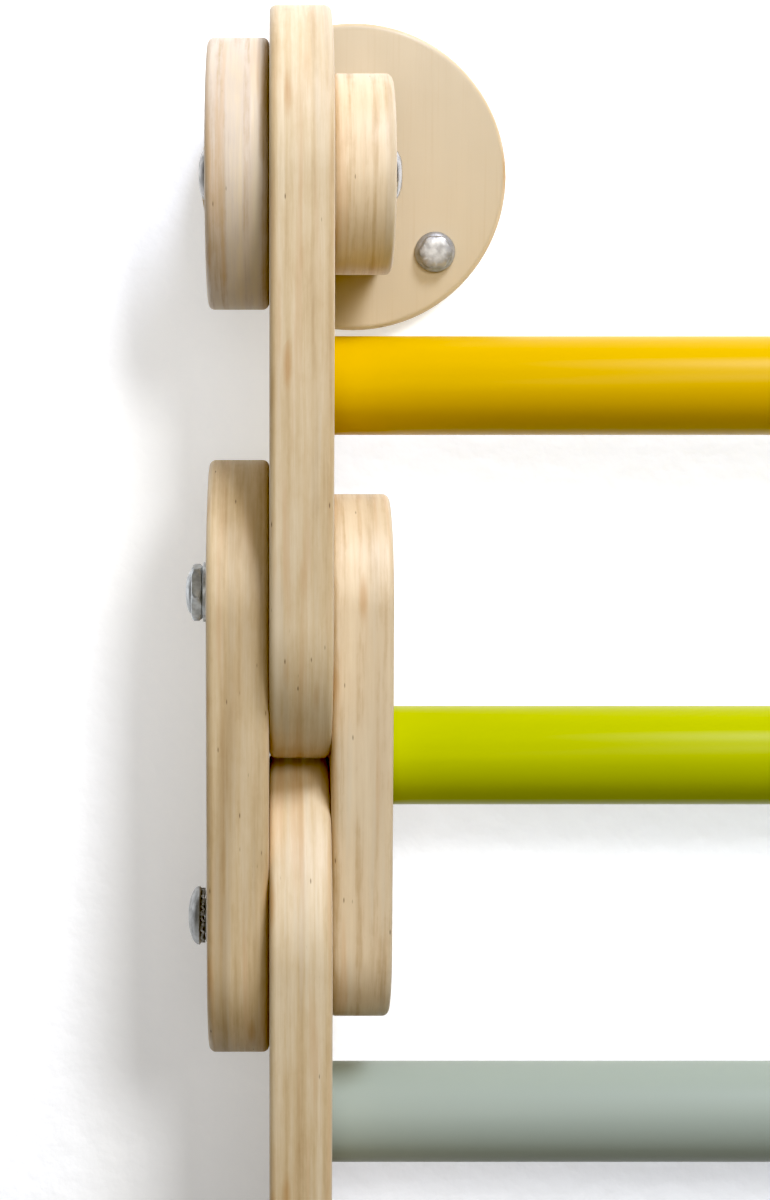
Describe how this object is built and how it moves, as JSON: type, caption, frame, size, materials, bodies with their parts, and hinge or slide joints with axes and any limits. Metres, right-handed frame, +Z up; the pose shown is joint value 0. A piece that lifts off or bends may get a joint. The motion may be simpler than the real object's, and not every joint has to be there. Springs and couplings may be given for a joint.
{
  "type": "climbing frame",
  "caption": "Wall-hung climbing frame: chains of round-ended plywood links and plates, bolted so that they pivot, carry painted rungs and hang from round wall flanges.",
  "frame": {"origin": "on the wall, midway between the flanges and level with their centres and with the top pivots", "axes": "+X along the rungs to the viewer's right, +Y into the wall, +Z up"},
  "size_m": [0.7274, 0.121, 0.456],
  "materials": {
    "wall_flange_left": "clear satin lacquer on birch plywood, layers showing at the edges",
    "bracket_tongue_left": "clear satin lacquer on birch plywood, layers showing at the edges",
    "bracket_cover_left": "clear satin lacquer on birch plywood, layers showing at the edges",
    "wall_screw_lower_left": "bright zinc plate",
    "wall_screw_upper_left": "bright zinc plate",
    "bracket_sleeve_nut_left": "bright zinc plate",
    "bracket_screw_left": "bright zinc plate",
    "wall_flange_right": "clear satin lacquer on birch plywood, layers showing at the edges",
    "bracket_tongue_right": "clear satin lacquer on birch plywood, layers showing at the edges",
    "bracket_cover_right": "clear satin lacquer on birch plywood, layers showing at the edges",
    "wall_screw_lower_right": "bright zinc plate",
    "wall_screw_upper_right": "bright zinc plate",
    "bracket_sleeve_nut_right": "bright zinc plate",
    "bracket_screw_right": "bright zinc plate",
    "link_1_left": "clear satin lacquer on birch plywood, layers showing at the edges",
    "link_1_right": "clear satin lacquer on birch plywood, layers showing at the edges",
    "rung_1": "satin yellow lacquer on a turned beech rod",
    "outer_plate_1_left": "clear satin lacquer on birch plywood, layers showing at the edges",
    "inner_plate_1_left": "clear satin lacquer on birch plywood, layers showing at the edges",
    "upper_bolt_1_left": "bright zinc plate",
    "nut_washer_1_left": "bright zinc plate",
    "cap_nut_1_left": "bright zinc plate",
    "lower_bolt_1_left": "bright zinc plate",
    "plain_washer_1_left": "bright zinc plate",
    "lock_washer_1_left": "bright zinc plate",
    "round_nut_1_left": "bright zinc plate",
    "outer_plate_1_right": "clear satin lacquer on birch plywood, layers showing at the edges",
    "inner_plate_1_right": "clear satin lacquer on birch plywood, layers showing at the edges",
    "upper_bolt_1_right": "bright zinc plate",
    "nut_washer_1_right": "bright zinc plate",
    "cap_nut_1_right": "bright zinc plate",
    "lower_bolt_1_right": "bright zinc plate",
    "plain_washer_1_right": "bright zinc plate",
    "lock_washer_1_right": "bright zinc plate",
    "round_nut_1_right": "bright zinc plate",
    "rung_2": "satin lime green lacquer on a turned beech rod",
    "link_2_left": "clear satin lacquer on birch plywood, layers showing at the edges",
    "link_2_right": "clear satin lacquer on birch plywood, layers showing at the edges",
    "rung_3": "satin sage grey lacquer on a turned beech rod"
  },
  "bodies": {
    "wall_brackets": {"wall_flange_left": "wall_flange_left", "bracket_tongue_left": "bracket_tongue_left", "bracket_cover_left": "bracket_cover_left", "wall_screw_lower_left": "wall_screw_lower_left", "wall_screw_upper_left": "wall_screw_upper_left", "bracket_sleeve_nut_left": "bracket_sleeve_nut_left", "bracket_screw_left": "bracket_screw_left", "wall_flange_right": "wall_flange_right", "bracket_tongue_right": "bracket_tongue_right", "bracket_cover_right": "bracket_cover_right", "wall_screw_lower_right": "wall_screw_lower_right", "wall_screw_upper_right": "wall_screw_upper_right", "bracket_sleeve_nut_right": "bracket_sleeve_nut_right", "bracket_screw_right": "bracket_screw_right"},
    "link_1": {"link_1_left": "link_1_left", "link_1_right": "link_1_right", "rung_1": "rung_1"},
    "plates_1": {"outer_plate_1_left": "outer_plate_1_left", "inner_plate_1_left": "inner_plate_1_left", "upper_bolt_1_left": "upper_bolt_1_left", "nut_washer_1_left": "nut_washer_1_left", "cap_nut_1_left": "cap_nut_1_left", "lower_bolt_1_left": "lower_bolt_1_left", "plain_washer_1_left": "plain_washer_1_left", "lock_washer_1_left": "lock_washer_1_left", "round_nut_1_left": "round_nut_1_left", "outer_plate_1_right": "outer_plate_1_right", "inner_plate_1_right": "inner_plate_1_right", "upper_bolt_1_right": "upper_bolt_1_right", "nut_washer_1_right": "nut_washer_1_right", "cap_nut_1_right": "cap_nut_1_right", "lower_bolt_1_right": "lower_bolt_1_right", "plain_washer_1_right": "plain_washer_1_right", "lock_washer_1_right": "lock_washer_1_right", "round_nut_1_right": "round_nut_1_right", "rung_2": "rung_2"},
    "link_2": {"link_2_left": "link_2_left", "link_2_right": "link_2_right", "rung_3": "rung_3"}
  },
  "joints": [
    {"name": "top_pivot", "type": "hinge", "parent": "wall_brackets", "child": "link_1", "pos_m": [0, -0.071, 0], "axis": [-1, 0, 0], "range_deg": [0, 90]},
    {"name": "upper_pivot_1", "type": "hinge", "parent": "link_1", "child": "plates_1", "pos_m": [0, -0.071, -0.127], "axis": [-1, 0, 0], "range_deg": [-75, 90]},
    {"name": "lower_pivot_1", "type": "hinge", "parent": "plates_1", "child": "link_2", "pos_m": [0, -0.071, -0.229], "axis": [1, 0, 0], "range_deg": [-90, 90]}
  ]
}
